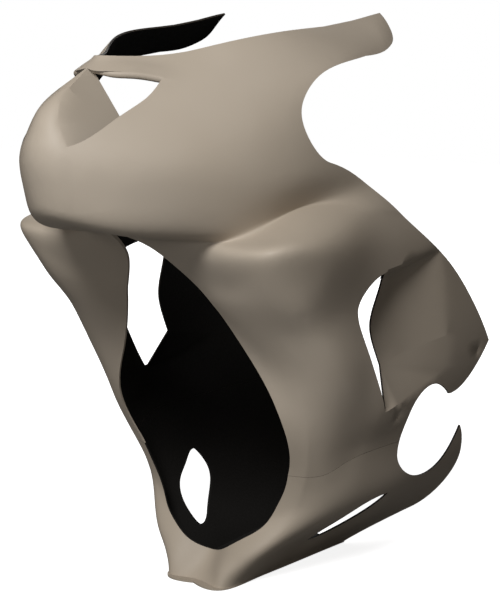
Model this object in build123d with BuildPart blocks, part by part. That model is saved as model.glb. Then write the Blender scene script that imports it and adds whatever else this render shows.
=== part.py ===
"""Race fairing of a sports motorcycle: an upper moulding with nose, wings and side panels, and a belly pan.

The nose points to -Y, the rider's left side is +X and +Z is up. The mouldings are drawn from the front
end of the seam between them, then moved so that the origin is midway between the two front fixing places.
"""

import os

from build123d import *

# Laminate, joint and the length of every cutting tool
WALL = 3.0
SEAM_GAP = 0.4
REACH = 900.0

# Section lines of the outer skin, from the plane of symmetry along the left side to the rear.
# Each point is half width, length and height.
SCREEN_LINE = [
    (0, -240, 619), (45, -190, 618), (90, -125, 627), (132, -54, 637),
    (149, 50, 652), (151, 150, 665), (152, 195, 671), (151, 240, 677),
]
BRIDGE_LINE = [
    (0, -262, 602), (48, -230, 593), (112, -155, 591), (170, -62, 597),
    (203, 40, 606), (197, 140, 617), (190, 188, 628), (180, 235, 640),
]
CROWN_LINE = [
    (0, -344, 550), (64, -290, 543), (128, -195, 540), (182, -102, 540),
    (205, -40, 541), (212, 70, 545), (213, 160, 552), (208, 250, 560),
]
PROW_LINE = [
    (0, -364, 478), (76, -318, 470), (142, -225, 464), (190, -122, 462),
    (213, -30, 464), (222, 80, 467), (227, 170, 465), (228, 260, 460),
]
JAW_LINE = [
    (0, -352, 432), (72, -312, 424), (136, -222, 418), (182, -125, 423),
    (206, -30, 434), (221, 80, 437), (228, 180, 431), (231, 280, 420),
]
LIP_LINE = [
    (0, -330, 402), (62, -298, 392), (120, -220, 384), (166, -135, 390),
    (194, -40, 412), (221, 72, 421), (231, 180, 410), (233, 290, 390),
]
GROOVE_LINE = [
    (0, -245, 382), (50, -225, 374), (105, -180, 368), (162, -134, 373),
    (193, -45, 404), (227, 68, 405), (234, 184, 388), (235, 300, 365),
]
SHOULDER_LINE = [
    (0, -125, 300), (60, -132, 315), (145, -160, 338), (228, -165, 366),
    (248, -85, 380), (240, 60, 386), (239, 185, 360), (238, 310, 330),
]
CHEEK_LINE = [
    (0, -80, 262), (92, -103, 264), (170, -122, 265), (230, -108, 268),
    (250, -10, 272), (246, 90, 272), (241, 220, 272), (236, 350, 272),
]
FLANK_LINE = [
    (0, -60, 180), (127, -62, 180), (185, -58, 180), (232, -30, 180),
    (246, 55, 180), (243, 150, 180), (239, 290, 184), (232, 430, 190),
]
WAIST_LINE = [
    (0, -50, 90), (154, -35, 90), (186, -15, 90), (214, 22, 90),
    (238, 80, 90), (238, 180, 90), (231, 325, 95), (222, 470, 100),
]
SEAM_LINE = [
    (0, -40, 0), (143, 0, 0), (170, 15, -4), (196, 50, 4),
    (214, 110, 18), (218, 200, 14), (211, 330, 6), (200, 460, -5),
]
PAN_LINE = [
    (0, -10, -60), (116, 8, -61), (150, 25, -62), (180, 65, -62),
    (196, 130, -60), (202, 220, -60), (195, 350, -60), (182, 480, -60),
]
CHINE_LINE = [
    (0, 0, -122), (60, -16, -120), (112, -8, -118), (130, 60, -118),
    (140, 130, -118), (150, 220, -118), (156, 350, -115), (158, 480, -110),
]
KEEL_LINE = [
    (0, -47, -198), (52, -45, -198), (60, 18, -198), (63, 80, -198),
    (67, 150, -198), (72, 250, -198), (90, 365, -189), (112, 480, -176),
]
SKIN_LINES = [
    SCREEN_LINE,
    BRIDGE_LINE,
    CROWN_LINE,
    PROW_LINE,
    JAW_LINE,
    LIP_LINE,
    GROOVE_LINE,
    SHOULDER_LINE,
    CHEEK_LINE,
    FLANK_LINE,
    WAIST_LINE,
    SEAM_LINE,
    PAN_LINE,
    CHINE_LINE,
    KEEL_LINE,
]

# Edges seen from the side, each point as length and height
WING_TIP = (222, 690)
WING_END = [WING_TIP, (231, 660), (225, 644), (194, 627), (151, 617), (109, 614)]
BAR_CUTOUT = [(109, 614), (37, 604), (-28, 576), (-51, 540), (-41, 502), (-2, 469)]
TAIL_EDGE = [(-2, 469), (77, 436), (170, 372), (295, 293), (394, 201), (448, 140)]
REAR_EDGE = [(448, 140), (446, 80), (444, 20)]
SEAM = [(444, 20), (330, 22), (189, 22), (96, 21), (55, 10), (32, -1), (10, -3), (-10, -2)]
PAN_BACK = [(446, -50), (450, -95), (440, -127), (386, -155)]

# Cut-out round the engine cover, on the left side only, seen from the side
TAIL_FOOT = [(448, 140), (396, 93), (355, 74), (325, 72)]
CASE_CUTOUT = [
    (325, 72), (303, 87), (250, 101), (203, 74), (194, 50), (189, 22),
    (191, -4), (204, -23), (235, -44), (343, -54), (388, -19), (400, 0),
]
HORN_BACK = [(400, 0), (416, -19), (432, -54), (440, -95), (434, -120), (386, -155)]

# Foot of the pan, seen from the side
PAN_FOOT = [(386, -155), (298, -172), (240, -190)]

# Opening round the front wheel seen from the front, each point as half width and height
WHEEL_EDGE_UPPER = [
    (0, 377), (23, 360), (37, 335), (71, 286), (107, 216), (140, 143), (155, 60), (144, 0),
]
WHEEL_EDGE_LOWER = [(144, 0), (134, -27), (116, -61), (97, -92), (65, -116), (0, -147)]

# Hollow of the side panel: three flat floors, each through three points, behind the open vent
HOLLOW_TOP = (217, 137, 284)
HOLLOW_FOOT = (214, 140, 150)
HOLLOW_PANEL = [HOLLOW_TOP, HOLLOW_FOOT, (240, 290, 222)]
HOLLOW_ROOF = [HOLLOW_TOP, (244, 104, 303), (229, 234, 303)]
HOLLOW_SHELF = [HOLLOW_FOOT, (242, 114, 86), (228, 300, 140)]
HOLLOW_SIZE = 600.0
HOLLOW_REGION = [(200, 300), (40, 360), (40, 340)]
HOLLOW_DEPTH = 45.0
VENT_FRONT = [
    (104, 303), (77, 297), (43, 279), (30, 259), (33, 242), (49, 210), (71, 167), (99, 114), (114, 86),
]
VENT_REAR = [(140, 150), (119, 196), (115, 218), (120, 240), (137, 284)]

# Slots in the turned-in sides of the pan, seen from the side: a sickle on the left and an oval on the right
SLOT_FRONT = [(193, -67), (153, -70), (128, -80), (108, -104), (97, -138)]
SLOT_REAR = [(97, -138), (137, -126), (164, -101), (193, -67)]
OVAL_SLOT = [(194, -70), (198, -93), (164, -119), (123, -138), (78, -147), (76, -127), (120, -89), (159, -73)]

# Intakes beside the beak, seen from the front, and the flat flank of the beak through three points
INTAKE_TOP = [(0, 602), (29, 594), (51, 590), (80, 587)]
INTAKE_LIP = [(80, 587), (82, 570), (72, 540), (56, 513), (32, 503)]
INTAKE_BACK_Y = -150.0
BEAK_FLANK = [(6, -286, 587), (29, -348, 526), (25, -245, 558)]
BEAK_FLANK_OUTLINE = [(-400, 620), (-262, 620), (-237, 536), (-235, 500), (-400, 500)]
BEAK_REGION = [(-30, 110), (-420, -120), (470, 640)]
BEAK_DEPTH = 150.0
ROLL_RADIUS = 4.5
ROLL_LINE = [(0, -256, 598), (29, -249, 590), (51, -229, 586), (80, -196, 583)]

# Dimples that mark the front and rear fixing place of each side, as length and height
FRONT_FIXING = (154, 70)
REAR_FIXING = (407, 129)
DIMPLE_RADIUS = 7.5
DIMPLE_DEPTH = 1.8
DIMPLE_BALL = (DIMPLE_RADIUS**2 + DIMPLE_DEPTH**2) / (2 * DIMPLE_DEPTH)

# Floor of the belly pan
FLOOR_THICKNESS = 3.0
FLOOR_BOTTOM = -190.0
FLOOR_SIDE = [(0, -42.0), (56, -40.6), (64.4, 20), (68, 80), (72, 150), (78, 248)]


def across(line):
    """Return a section line carried across the plane of symmetry to the right side."""
    return [(-x, y, z) for x, y, z in reversed(line[1:])] + line


def outline(*stretches):
    """Draw an outline: stretches of three or more points are smooth, the others straight."""
    for stretch in stretches:
        if len(stretch) > 2:
            Spline(*stretch)
        else:
            Line(*stretch)


def plane_through(points, outward):
    """Return the plane through three points that faces a direction."""
    first, second, third = (Vector(*point) for point in points)
    normal = (second - first).cross(third - first).normalized()
    if normal.dot(Vector(*outward)) < 0:
        normal = -normal
    return Plane(origin=first, z_dir=normal)


def skin_through(sections):
    """Return the smooth surface through section lines, from screen to keel."""
    along = [Edge.make_spline([Vector(*point) for point in section]) for section in sections]
    down = [Edge.make_spline([Vector(*section[k]) for section in sections]) for k in range(len(sections[0]))]
    return Face.make_gordon_surface(along, down)


outer_sections = [across(line) for line in SKIN_LINES]
outer_skin = skin_through(outer_sections)
inward = 1 if outer_skin.normal_at(Vector(*PROW_LINE[0])).Y > 0 else -1


def inner_point(point):
    """Return the point of the inner skin behind a point of the outer one."""
    return tuple(Vector(*point) + outer_skin.normal_at(Vector(*point)) * inward * WALL)


inner_skin = skin_through([[inner_point(point) for point in section] for section in outer_sections])
rims = []
for edge in outer_skin.edges():
    facing = min(inner_skin.edges(), key=lambda other: (other.center() - edge.center()).length)
    rims.append(Face.make_surface_from_curves(edge, facing))
laminate = Solid(Shell([outer_skin, inner_skin] + rims))

with BuildSketch(Plane.YZ) as upper_side:
    with BuildLine():
        outline(WING_END, BAR_CUTOUT, TAIL_EDGE, REAR_EDGE, SEAM)
        Polyline(SEAM[-1], (-REACH, SEAM[-1][1]), (-REACH, REACH), (WING_TIP[0], REACH), WING_TIP)
    make_face()

lower_seam = [(y, z - SEAM_GAP) for y, z in reversed(SEAM)]
with BuildSketch(Plane.YZ) as lower_side:
    with BuildLine():
        outline(lower_seam, [lower_seam[-1]] + PAN_BACK, PAN_FOOT)
        Polyline(PAN_FOOT[-1], (-REACH, FLOOR_BOTTOM), (-REACH, lower_seam[0][1]), lower_seam[0])
    make_face()

with BuildSketch(Plane.YZ) as case_cutout:
    with BuildLine():
        outline(TAIL_FOOT, CASE_CUTOUT, HORN_BACK)
        Polyline(HORN_BACK[-1], (REACH, -REACH), (REACH, TAIL_FOOT[0][1]), TAIL_FOOT[0])
    make_face()

with BuildSketch(Plane.XZ) as wheel_opening:
    with BuildLine():
        Spline(*WHEEL_EDGE_UPPER)
        mirror(about=Plane.YZ)
        Spline(*WHEEL_EDGE_LOWER, *[(-x, z) for x, z in reversed(WHEEL_EDGE_LOWER[:-1])])
    make_face()

with BuildSketch(Plane.YZ) as behind_vent_edge:
    with BuildLine():
        outline(VENT_FRONT)
        Polyline(VENT_FRONT[-1], (VENT_FRONT[-1][0], 0), (REACH, 0), (REACH, REACH))
        Polyline((REACH, REACH), (VENT_FRONT[0][0], REACH), VENT_FRONT[0])
    make_face()

with BuildSketch(Plane.YZ) as ahead_of_panel:
    with BuildLine():
        outline(VENT_REAR, [VENT_REAR[-1], VENT_FRONT[0]], [VENT_FRONT[-1], VENT_REAR[0]])
        Polyline(VENT_FRONT[0], (VENT_FRONT[0][0], REACH), (-REACH, REACH), (-REACH, 0))
        Polyline((-REACH, 0), (VENT_FRONT[-1][0], 0), VENT_FRONT[-1])
    make_face()

with BuildSketch(Plane.YZ) as sickle_slot:
    with BuildLine():
        outline(SLOT_FRONT, SLOT_REAR)
    make_face()

with BuildSketch(Plane.YZ) as oval_slot:
    with BuildLine():
        Spline(*OVAL_SLOT, periodic=True)
    make_face()

panel_plane = plane_through(HOLLOW_PANEL, (1, 0, 0))
roof_plane = plane_through(HOLLOW_ROOF, (0, 0, -1))
shelf_plane = plane_through(HOLLOW_SHELF, (0, 0, 1))


def hollow_body(grown):
    """Return the empty space of the left hollow, grown on its three floors."""
    with BuildPart() as body:
        with BuildSketch(panel_plane.offset(-grown)):
            Rectangle(HOLLOW_SIZE, HOLLOW_SIZE)
        extrude(amount=HOLLOW_SIZE)
        split(bisect_by=roof_plane.offset(-grown), keep=Keep.TOP)
        split(bisect_by=shelf_plane.offset(-grown), keep=Keep.TOP)
    return body.part


def skin_patch(region):
    """Return the piece of the outer skin between limits in width, length and height."""
    size = [high - low for low, high in region]
    block = Pos(*[low for low, high in region]) * Box(*size, align=(Align.MIN, Align.MIN, Align.MIN))
    return max(outer_skin.intersect(block).faces(), key=lambda face: face.area)


side_patch = skin_patch(HOLLOW_REGION)
nose_patch = skin_patch(BEAK_REGION)

with BuildPart() as hollow:
    add(hollow_body(0))
    extrude(behind_vent_edge.sketch, amount=REACH, mode=Mode.INTERSECT)
    add(hollow.part.mirror(Plane.YZ))

with BuildPart() as hollow_wall:
    add(hollow_body(WALL))
    add(hollow_body(0), mode=Mode.SUBTRACT)
    add(Solid.extrude(side_patch, Vector(-HOLLOW_DEPTH, 0, 0)), mode=Mode.INTERSECT)
    extrude(ahead_of_panel.sketch, amount=REACH, mode=Mode.SUBTRACT)
    add(hollow_wall.part.mirror(Plane.YZ))

flank_plane = plane_through(BEAK_FLANK, (1, 0, 0))
with BuildPart() as beak_flank:
    with BuildSketch(Plane.YZ):
        with BuildLine():
            Polyline(*BEAK_FLANK_OUTLINE, close=True)
        make_face()
    extrude(amount=REACH)
    split(bisect_by=flank_plane, keep=Keep.BOTTOM)
    split(bisect_by=flank_plane.offset(-WALL), keep=Keep.TOP)
    add(Solid.extrude(nose_patch, Vector(0, BEAK_DEPTH, 0)), mode=Mode.INTERSECT)
    add(beak_flank.part.mirror(Plane.YZ))

with BuildPart() as intake:
    with BuildSketch(Plane.XZ.offset(-INTAKE_BACK_Y)):
        with BuildLine():
            outline(INTAKE_TOP, INTAKE_LIP)
            Polyline(INTAKE_LIP[-1], (0, INTAKE_LIP[-1][1]), INTAKE_TOP[0])
        make_face()
    extrude(amount=REACH)
    split(bisect_by=flank_plane, keep=Keep.TOP)
    add(intake.part.mirror(Plane.YZ))

with BuildPart() as dimples:
    for length, height in (FRONT_FIXING, REAR_FIXING):
        hits = outer_skin.find_intersection_points(Axis((0, length, height), (1, 0, 0)))
        seat, normal = max(hits, key=lambda hit: hit[0].X)
        outward = normal if normal.X > 0 else -normal
        with Locations(seat + outward * (DIMPLE_BALL - DIMPLE_DEPTH)):
            Sphere(DIMPLE_BALL)
    add(dimples.part.mirror(Plane.YZ))

with BuildPart() as roll:
    with BuildLine() as roll_path:
        Spline(*across(ROLL_LINE))
    with BuildSketch(Plane(roll_path.line @ 0, z_dir=roll_path.line % 0)):
        Circle(ROLL_RADIUS)
    sweep()

with BuildPart() as upper_fairing:
    add(laminate)
    add(hollow.part, mode=Mode.SUBTRACT)
    add(hollow_wall.part)
    extrude(upper_side.sketch, amount=REACH, both=True, mode=Mode.INTERSECT)
    extrude(case_cutout.sketch, amount=REACH, mode=Mode.SUBTRACT)
    extrude(wheel_opening.sketch, amount=REACH, both=True, mode=Mode.SUBTRACT)
    add(intake.part, mode=Mode.SUBTRACT)
    add(beak_flank.part)
    add(roll.part)
    add(dimples.part, mode=Mode.SUBTRACT)

with BuildPart() as lower_fairing:
    add(laminate)
    extrude(lower_side.sketch, amount=REACH, both=True, mode=Mode.INTERSECT)
    extrude(case_cutout.sketch, amount=REACH, mode=Mode.SUBTRACT)
    extrude(wheel_opening.sketch, amount=REACH, both=True, mode=Mode.SUBTRACT)
    extrude(sickle_slot.sketch, amount=REACH, mode=Mode.SUBTRACT)
    extrude(oval_slot.sketch, amount=-REACH, mode=Mode.SUBTRACT)
    with BuildSketch(Plane.XY.offset(FLOOR_BOTTOM)):
        with BuildLine():
            outline(FLOOR_SIDE, [FLOOR_SIDE[-1], (0, FLOOR_SIDE[-1][1])])
            mirror(about=Plane.YZ)
        make_face()
    extrude(amount=FLOOR_THICKNESS)

to_fixings = Pos(0, -FRONT_FIXING[0], -FRONT_FIXING[1])
os.makedirs("parts", exist_ok=True)
for moulding, name in ((upper_fairing, "upper_fairing"), (lower_fairing, "lower_fairing")):
    placed = to_fixings * moulding.part
    placed.label = name
    export_step(placed, f"parts/{name}.step")
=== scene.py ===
"""Race fairing of a sports motorcycle in bare moulded skin: upper fairing and belly pan."""

import math

import bmesh
import bpy
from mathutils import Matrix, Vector
from mathutils.bvhtree import BVHTree


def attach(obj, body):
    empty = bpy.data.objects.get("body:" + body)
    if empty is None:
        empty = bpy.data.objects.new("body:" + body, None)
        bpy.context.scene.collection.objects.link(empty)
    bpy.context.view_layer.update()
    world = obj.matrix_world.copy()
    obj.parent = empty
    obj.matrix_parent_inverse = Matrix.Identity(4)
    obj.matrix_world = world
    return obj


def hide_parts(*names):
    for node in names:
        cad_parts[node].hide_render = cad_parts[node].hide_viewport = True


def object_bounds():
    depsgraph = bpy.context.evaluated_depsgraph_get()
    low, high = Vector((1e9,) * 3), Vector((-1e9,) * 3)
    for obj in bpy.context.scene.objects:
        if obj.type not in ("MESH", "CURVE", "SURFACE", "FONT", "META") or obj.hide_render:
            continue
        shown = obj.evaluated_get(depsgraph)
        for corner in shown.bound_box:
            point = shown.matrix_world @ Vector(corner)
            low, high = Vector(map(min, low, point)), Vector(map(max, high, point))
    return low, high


# Camera at the photograph's viewing angle, in metres, degrees and millimetres
CAMERA_PLACE = (1.4407, -1.9052, 0.6016)
CAMERA_AZIMUTH = 38.0
CAMERA_ELEVATION = 10.6
CAMERA_LENS = 91.2
SENSOR_WIDTH = 36.0

# Skin: linear colours, range of roughness and shine
SKIN_DARK = (0.4, 0.34, 0.27)
SKIN_COLOUR = (0.43, 0.37, 0.3)
SKIN_ROUGHNESS = (0.5, 0.62)
SKIN_SHINE = 0.35

# Inner face and trimmed edge of the laminate
INSIDE_COLOUR = (0.012, 0.011, 0.01)
INSIDE_ROUGHNESS = (0.7, 0.95)
INSIDE_SHINE = 0.15
EDGE_COLOUR = (0.06, 0.045, 0.032)
EDGE_ROUGHNESS = 0.7

# Textures: scale and detail of each, strength and height of the relief that two of them give,
# and the stops between which they pass from one tone to the other
CLOUDS = (4.0, 3.0)
STIPPLE = (900.0, 2.0)
WEAVE = (260.0, 4.0)
GRAIN = (400.0, 3.0)
STIPPLE_RELIEF = (0.05, 0.0004)
WEAVE_RELIEF = (0.3, 0.0005)
CLOUD_STOPS = (0.35, 0.65)
FINE_STOPS = (0.3, 0.7)

# Floor: half its width, how far it lies under the object, how pale it is to the lamps' bounces
# and to the camera, and its own share of white, which grows from the object outwards
FLOOR_HALF = 6.0
FLOOR_DROP = 0.001
FLOOR_TONES = (0.12, 0.8)
FLOOR_STOPS = (0.0, 1.0)
FLOOR_ROUGHNESS = 0.9
FLOOR_GLOW = 0.85
GLOW_START = 0.3
GLOW_END = 1.2

# Air of the studio
AIR_COLOUR = (1.0, 0.86, 0.72)
AIR_STRENGTH = 0.05
WHITE = (1.0, 1.0, 1.0)

# Studio lamps: name, place, aim, width and power
LAMPS = [
    ("key_lamp", (1.0, -2.6, 2.35), (0.0, -0.2, 0.15), 0.9, 98.0),
    ("side_lamp", (3.0, -1.0, 1.2), (0.1, 0.0, 0.1), 1.8, 3.0),
    ("low_lamp", (0.7, -3.2, 0.2), (0.0, -0.15, -0.2), 0.5, 10.0),
    ("back_lamp", (-1.9, 2.4, 1.6), (0.0, 0.0, 0.1), 1.8, 40.0),
]

# Sides of a face, which are also the numbers of the materials
OUTSIDE, INSIDE, TRIMMED = 0, 1, 2

# Sorting of the faces: reach of the feeler through the wall, points that are one, the sharpest
# turns inside one patch and inside smooth shading, and the place that the outside faces away from
WALL_FEELER = 0.006
MERGE_GAP = 0.00001
PATCH_ANGLE = 50.0
SMOOTH_ANGLE = 35.0
HEART = Vector((0.0, 0.1, 0.1))
HEART_PULL = 0.3

# Places where one face of the skin flows softly into the next: centre, reach on each axis,
# longest edge and rounds of smoothing
BEAK_FLOW = ((0.04, -0.48, 0.43), (0.09, 0.09, 0.085), 0.005, 60)
VENT_FLOW = ((0.235, 0.09, 0.19), (0.05, 0.12, 0.09), 0.009, 10)
FLOW_STEP = 0.7
FLOW_FADE = 3.0
SPLIT_ROUNDS = 5

# Small shifts of the skin on both sides: centre, reach on each axis and move
SEAM_SHIFT = ((0.2, -0.17, 0.04), (0.09, 0.12, 0.17), (0.014, -0.004, 0.0))
UPPER_SHIFTS = [
    ((0.17, 0.075, 0.59), (0.09, 0.09, 0.07), (0.0, -0.014, 0.0)),
    ((0.14, -0.2, 0.57), (0.1, 0.16, 0.05), (0.0, 0.0, 0.008)),
    ((0.05, -0.38, 0.52), (0.09, 0.07, 0.03), (0.0, 0.0, 0.008)),
    ((0.24, -0.3, 0.26), (0.06, 0.09, 0.07), (-0.006, 0.0, 0.0)),
    SEAM_SHIFT,
]
LOWER_SHIFTS = [
    ((0.0, -0.2, -0.25), (0.13, 0.08, 0.05), (0.0, -0.008, 0.0)),
    SEAM_SHIFT,
]


def noise(tree, scale, detail, vector):
    """Add a noise texture that reads a vector."""
    node = tree.nodes.new("ShaderNodeTexNoise")
    node.inputs["Scale"].default_value = scale
    node.inputs["Detail"].default_value = detail
    tree.links.new(vector, node.inputs["Vector"])
    return node


def ramp(tree, factor, stops, colours):
    """Add a colour ramp that passes between two stops from one colour to the other."""
    node = tree.nodes.new("ShaderNodeValToRGB")
    for element, stop, colour in zip(node.color_ramp.elements, stops, colours):
        element.position = stop
        element.color = (*colour, 1.0)
    tree.links.new(factor, node.inputs["Fac"])
    return node


def greys(values):
    """Return the grey colours of some values."""
    return [(value, value, value) for value in values]


def bump(tree, shader, height, strength, distance):
    """Let a texture raise the surface of a shader a little."""
    node = tree.nodes.new("ShaderNodeBump")
    node.inputs["Strength"].default_value = strength
    node.inputs["Distance"].default_value = distance
    tree.links.new(height, node.inputs["Height"])
    tree.links.new(node.outputs["Normal"], shader.inputs["Normal"])


def new_material(name):
    """Return a material with its node tree, shader and object coordinates."""
    material = bpy.data.materials.new(name)
    material.use_nodes = True
    tree = material.node_tree
    shader = tree.nodes["Principled BSDF"]
    place = tree.nodes.new("ShaderNodeTexCoord")
    return material, tree, shader, place.outputs["Object"]


def primer_skin():
    """Satin beige-grey moulding skin, faintly clouded and finely stippled."""
    material, tree, shader, place = new_material("primer_skin")
    cloud = noise(tree, *CLOUDS, place)
    colour = ramp(tree, cloud.outputs["Fac"], CLOUD_STOPS, (SKIN_DARK, SKIN_COLOUR))
    tree.links.new(colour.outputs["Color"], shader.inputs["Base Color"])
    stipple = noise(tree, *STIPPLE, place)
    sheen = ramp(tree, stipple.outputs["Fac"], FINE_STOPS, greys(SKIN_ROUGHNESS))
    tree.links.new(sheen.outputs["Color"], shader.inputs["Roughness"])
    bump(tree, shader, stipple.outputs["Fac"], *STIPPLE_RELIEF)
    shader.inputs["Specular IOR Level"].default_value = SKIN_SHINE
    return material


def laminate_inside():
    """Near-black inner face of the glass-fibre laminate with a faint weave."""
    material, tree, shader, place = new_material("laminate_inside")
    shader.inputs["Base Color"].default_value = (*INSIDE_COLOUR, 1.0)
    shader.inputs["Specular IOR Level"].default_value = INSIDE_SHINE
    weave = noise(tree, *WEAVE, place)
    rough = ramp(tree, weave.outputs["Fac"], FINE_STOPS, greys(INSIDE_ROUGHNESS))
    tree.links.new(rough.outputs["Color"], shader.inputs["Roughness"])
    bump(tree, shader, weave.outputs["Fac"], *WEAVE_RELIEF)
    return material


def trimmed_edge():
    """Dark brown cut edge of the laminate."""
    material, tree, shader, place = new_material("trimmed_edge")
    grain = noise(tree, *GRAIN, place)
    colour = ramp(tree, grain.outputs["Fac"], FINE_STOPS, (INSIDE_COLOUR, EDGE_COLOUR))
    tree.links.new(colour.outputs["Color"], shader.inputs["Base Color"])
    shader.inputs["Roughness"].default_value = EDGE_ROUGHNESS
    return material


def patches(work):
    """Return the faces in groups that meet without a sharp turn."""
    limit = math.radians(PATCH_ANGLE)
    seen = set()
    groups = []
    for first in work.faces:
        if first.index in seen:
            continue
        seen.add(first.index)
        group = [first]
        for face in group:
            for edge in face.edges:
                if len(edge.link_faces) != 2 or edge.calc_face_angle() > limit:
                    continue
                for other in edge.link_faces:
                    if other.index not in seen:
                        seen.add(other.index)
                        group.append(other)
        groups.append(group)
    return groups


def sort_faces(work):
    """Give each patch the number of its side, by the votes of its faces' areas."""
    tree = BVHTree.FromBMesh(work)
    for group in patches(work):
        thin = 0.0
        outside = 0.0
        area = 0.0
        for face in group:
            centre = face.calc_center_median()
            size = face.calc_area()
            area += size
            start = centre - face.normal * MERGE_GAP
            if tree.ray_cast(start, -face.normal, WALL_FEELER)[0] is not None:
                thin += size
            away = (centre - HEART) * HEART_PULL
            away.x = centre.x
            outside += size if face.normal.dot(away) > 0 else -size
        side = TRIMMED if thin < area / 2 else OUTSIDE if outside > 0 else INSIDE
        for face in group:
            face.material_index = side


def share(point, centre, reach):
    """Return 1 in the middle of a place or of its mirror image, falling to 0 at its border."""
    off = Vector((
        (abs(point.x) - centre[0]) / reach[0],
        (point.y - centre[1]) / reach[1],
        (point.z - centre[2]) / reach[2],
    ))
    return max(0.0, 1.0 - off.length_squared)


def refine(work, centre, reach, longest):
    """Split the edges near a place that are too long."""
    for _ in range(SPLIT_ROUNDS):
        long = [
            edge for edge in work.edges
            if edge.calc_length() > longest
            and any(share(vertex.co, centre, reach) > 0 for vertex in edge.verts)
        ]
        if not long:
            break
        bmesh.ops.subdivide_edges(work, edges=long, cuts=1)
        corners = [face for face in work.faces if len(face.verts) > 3]
        bmesh.ops.triangulate(work, faces=corners)


def outer_faces(vertex):
    """Return the faces of the outer skin that meet in a point."""
    return [face for face in vertex.link_faces if face.material_index == OUTSIDE]


def flow(work, normals, centre, reach, rounds):
    """Let the shading of the outer skin flow across the creases near a place."""
    near = [
        vertex for vertex in work.verts
        if share(vertex.co, centre, reach) > 0 and outer_faces(vertex)
    ]
    for vertex in near:
        parts = (face.normal * face.calc_area() for face in outer_faces(vertex))
        normals[vertex.index] = sum(parts, Vector()).normalized()
    links = {}
    weights = {}
    for vertex in near:
        others = {v.index for face in outer_faces(vertex) for v in face.verts}
        others.discard(vertex.index)
        links[vertex.index] = [number for number in others if number in normals]
        weights[vertex.index] = min(1.0, FLOW_FADE * share(vertex.co, centre, reach))
    for _ in range(rounds):
        turned = {}
        for number, others in links.items():
            if others:
                mean = sum((normals[other] for other in others), Vector()) / len(others)
                step = FLOW_STEP * weights[number]
                turned[number] = normals[number].lerp(mean, step).normalized()
        normals.update(turned)


def shift(work, centre, reach, move):
    """Shift the points near a place and its mirror image, most in the middle."""
    for vertex in work.verts:
        side = -1.0 if vertex.co.x < 0 else 1.0
        pull = share(vertex.co, centre, reach) ** 2
        vertex.co += Vector((move[0] * side, move[1], move[2])) * pull


def shade(work, normals):
    """Shade each side of the skin smoothly, with sharp edges between the sides."""
    limit = math.radians(SMOOTH_ANGLE)
    for face in work.faces:
        face.smooth = True
    for edge in work.edges:
        sides = [face.material_index for face in edge.link_faces]
        alike = len(sides) == 2 and sides[0] == sides[1]
        flows = (
            alike and sides[0] == OUTSIDE
            and all(vertex.index in normals for vertex in edge.verts)
        )
        edge.smooth = alike and (flows or edge.calc_face_angle() < limit)


def set_normals(mesh, normals):
    """Give the outer skin's corners the normals that flow, and leave the others free."""
    custom = [(0.0, 0.0, 0.0)] * len(mesh.loops)
    for polygon in mesh.polygons:
        for loop in polygon.loop_indices:
            number = mesh.loops[loop].vertex_index
            if polygon.material_index == OUTSIDE and number in normals:
                custom[loop] = tuple(normals[number])
    mesh.normals_split_custom_set(custom)


def moulding(node, name, materials, flows, moves):
    """Make a dressed copy of a CAD node: merged, shifted, sorted by side and shaded smooth."""
    work = bmesh.new()
    work.from_mesh(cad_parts[node].data)
    bmesh.ops.remove_doubles(work, verts=work.verts, dist=MERGE_GAP)
    for centre, reach, longest, _ in flows:
        refine(work, centre, reach, longest)
    for move in moves:
        shift(work, *move)
    for part in (work.verts, work.edges, work.faces):
        part.index_update()
        part.ensure_lookup_table()
    work.normal_update()
    sort_faces(work)
    normals = {}
    for centre, reach, _, rounds in flows:
        flow(work, normals, centre, reach, rounds)
    shade(work, normals)
    mesh = bpy.data.meshes.new(name)
    for material in materials:
        mesh.materials.append(material)
    work.to_mesh(mesh)
    work.free()
    set_normals(mesh, normals)
    piece = bpy.data.objects.new(name, mesh)
    bpy.context.scene.collection.objects.link(piece)
    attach(piece, "root")
    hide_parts(node)
    return piece


def soft_box(name, place, aim, width, power):
    """Add a square studio lamp that points at a place."""
    data = bpy.data.lights.new(name, "AREA")
    data.shape = "RECTANGLE"
    data.size = data.size_y = width
    data.energy = power
    lamp = bpy.data.objects.new(name, data)
    lamp.location = place
    line = Vector(aim) - Vector(place)
    lamp.rotation_euler = line.to_track_quat("-Z", "Y").to_euler()
    bpy.context.scene.collection.objects.link(lamp)


def floor_finish():
    """Pale floor that takes the shadow and glows towards white away from the object."""
    material, tree, shader, place = new_material("pale_floor")
    path = tree.nodes.new("ShaderNodeLightPath")
    camera_ray = path.outputs["Is Camera Ray"]
    pale = ramp(tree, camera_ray, FLOOR_STOPS, greys(FLOOR_TONES))
    tree.links.new(pale.outputs["Color"], shader.inputs["Base Color"])
    shader.inputs["Roughness"].default_value = FLOOR_ROUGHNESS
    glow = tree.nodes.new("ShaderNodeEmission")
    both = tree.nodes.new("ShaderNodeAddShader")
    length = tree.nodes.new("ShaderNodeVectorMath")
    length.operation = "LENGTH"
    spread = tree.nodes.new("ShaderNodeMapRange")
    spread.inputs["From Min"].default_value = GLOW_START
    spread.inputs["From Max"].default_value = GLOW_END
    spread.inputs["To Min"].default_value = FLOOR_GLOW
    spread.inputs["To Max"].default_value = 1.0
    strength = tree.nodes.new("ShaderNodeMath")
    strength.operation = "MULTIPLY"
    tree.links.new(place, length.inputs[0])
    tree.links.new(length.outputs["Value"], spread.inputs["Value"])
    tree.links.new(spread.outputs["Result"], strength.inputs[0])
    tree.links.new(camera_ray, strength.inputs[1])
    tree.links.new(strength.outputs["Value"], glow.inputs["Strength"])
    tree.links.new(shader.outputs["BSDF"], both.inputs[0])
    tree.links.new(glow.outputs["Emission"], both.inputs[1])
    output = tree.nodes["Material Output"]
    tree.links.new(both.outputs["Shader"], output.inputs["Surface"])
    return material


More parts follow.
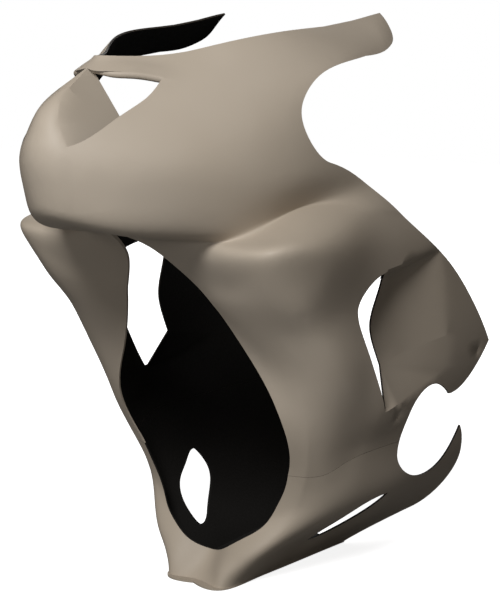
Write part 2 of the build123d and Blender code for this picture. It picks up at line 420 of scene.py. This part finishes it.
def lay_floor():
    """Lay the floor just under the object."""
    mesh = bpy.data.meshes.new("studio_floor")
    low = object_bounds()[0][2] - FLOOR_DROP
    corners = [(-1, -1), (1, -1), (1, 1), (-1, 1)]
    points = [(x * FLOOR_HALF, y * FLOOR_HALF, low) for x, y in corners]
    mesh.from_pydata(points, [], [(0, 1, 2, 3)])
    floor = bpy.data.objects.new("studio_floor", mesh)
    bpy.context.scene.collection.objects.link(floor)
    mesh.materials.append(floor_finish())


def fill_air():
    """Fill the studio with faint warm light that the camera sees as white."""
    world = bpy.data.worlds.new("studio_air")
    bpy.context.scene.world = world
    world.use_nodes = True
    nodes = world.node_tree.nodes
    links = world.node_tree.links
    back = nodes["Background"]
    back.inputs["Color"].default_value = (*AIR_COLOUR, 1.0)
    back.inputs["Strength"].default_value = AIR_STRENGTH
    white = nodes.new("ShaderNodeBackground")
    white.inputs["Color"].default_value = (*WHITE, 1.0)
    mix = nodes.new("ShaderNodeMixShader")
    path = nodes.new("ShaderNodeLightPath")
    links.new(path.outputs["Is Camera Ray"], mix.inputs["Fac"])
    links.new(back.outputs["Background"], mix.inputs[1])
    links.new(white.outputs["Background"], mix.inputs[2])
    links.new(mix.outputs["Shader"], nodes["World Output"].inputs["Surface"])


def camera():
    """Place the camera at the photograph's viewing angle."""
    data = bpy.data.cameras.new("photo_camera")
    data.lens = CAMERA_LENS
    data.sensor_width = SENSOR_WIDTH
    eye = bpy.data.objects.new("photo_camera", data)
    eye.location = CAMERA_PLACE
    tilt = math.radians(90.0 - CAMERA_ELEVATION)
    eye.rotation_euler = (tilt, 0.0, math.radians(CAMERA_AZIMUTH))
    bpy.context.scene.collection.objects.link(eye)
    bpy.context.scene.camera = eye


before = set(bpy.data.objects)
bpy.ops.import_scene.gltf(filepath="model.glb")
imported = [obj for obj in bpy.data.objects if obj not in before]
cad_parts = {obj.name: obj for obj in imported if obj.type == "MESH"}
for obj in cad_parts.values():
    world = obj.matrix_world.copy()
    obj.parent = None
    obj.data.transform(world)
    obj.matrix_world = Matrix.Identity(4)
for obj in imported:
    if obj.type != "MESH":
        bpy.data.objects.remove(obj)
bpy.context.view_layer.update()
bpy.context.scene.view_settings.view_transform = "Standard"
camera()
finishes = [primer_skin(), laminate_inside(), trimmed_edge()]
moulding("upper_fairing", "upper_moulding", finishes, [BEAK_FLOW, VENT_FLOW], UPPER_SHIFTS)
moulding("lower_fairing", "lower_moulding", finishes, [], LOWER_SHIFTS)
lay_floor()
fill_air()
for lamp in LAMPS:
    soft_box(*lamp)
